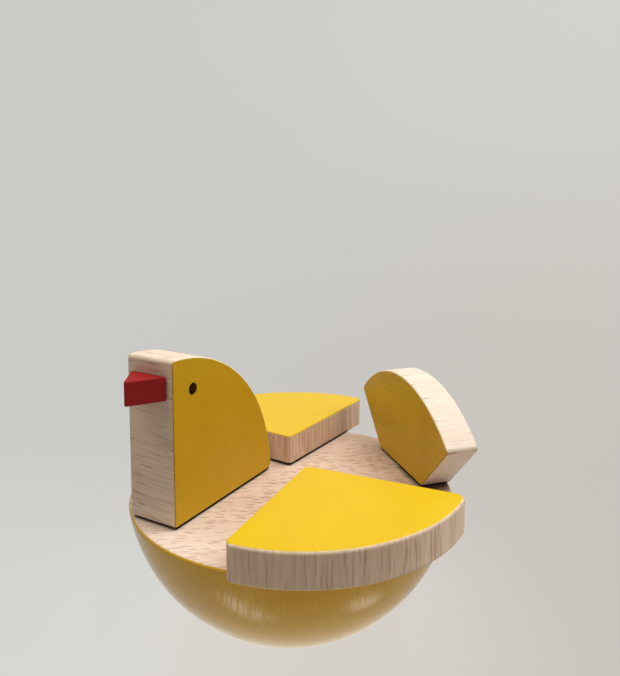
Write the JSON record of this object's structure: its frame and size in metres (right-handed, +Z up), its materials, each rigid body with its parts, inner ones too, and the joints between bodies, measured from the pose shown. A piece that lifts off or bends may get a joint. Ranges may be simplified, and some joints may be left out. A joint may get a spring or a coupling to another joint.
{
  "type": "wooden rocking bird",
  "caption": "Toy bird of flat quarter-round wooden slabs pegged to the deck of a half ball, which rocks on its round side while the head turns on its peg.",
  "frame": {"origin": "middle of the small flat at the bottom of the half ball, where the toy rests on a table", "axes": "+Z up, square to the deck; the bird looks along -Y when its head is straight; +X is the bird's left side"},
  "size_m": [0.1202, 0.1, 0.0905],
  "materials": {
    "thin_yellow_paint": "thin yellow paint, half gloss, over turned beech; bare oiled beech on the deck",
    "yellow_paint": "yellow paint, satin, on both flat sides; bare beech round the edge",
    "red_paint": "dark red paint, satin",
    "dark_wood": "dark brown, matt",
    "beech": "bare beech"
  },
  "bodies": {
    "rocker": {"half_ball": "thin_yellow_paint", "left_wing": "yellow_paint", "left_wing_inner_dowel": "beech", "left_wing_outer_dowel": "beech", "right_wing": "yellow_paint", "right_wing_inner_dowel": "beech", "right_wing_outer_dowel": "beech", "tail": "yellow_paint", "tail_left_dowel": "beech", "tail_right_dowel": "beech"},
    "turning_head": {"head": "yellow_paint", "neck_peg": "beech", "beak": "red_paint", "beak_pin": "beech", "left_eye": "dark_wood", "right_eye": "dark_wood"}
  },
  "joints": [
    {"name": "head_turn", "type": "hinge", "parent": "rocker", "child": "turning_head", "pos_m": [-0.00255, -0.0265, 0.04288], "axis": [0, 0, 1], "continuous": true}
  ]
}
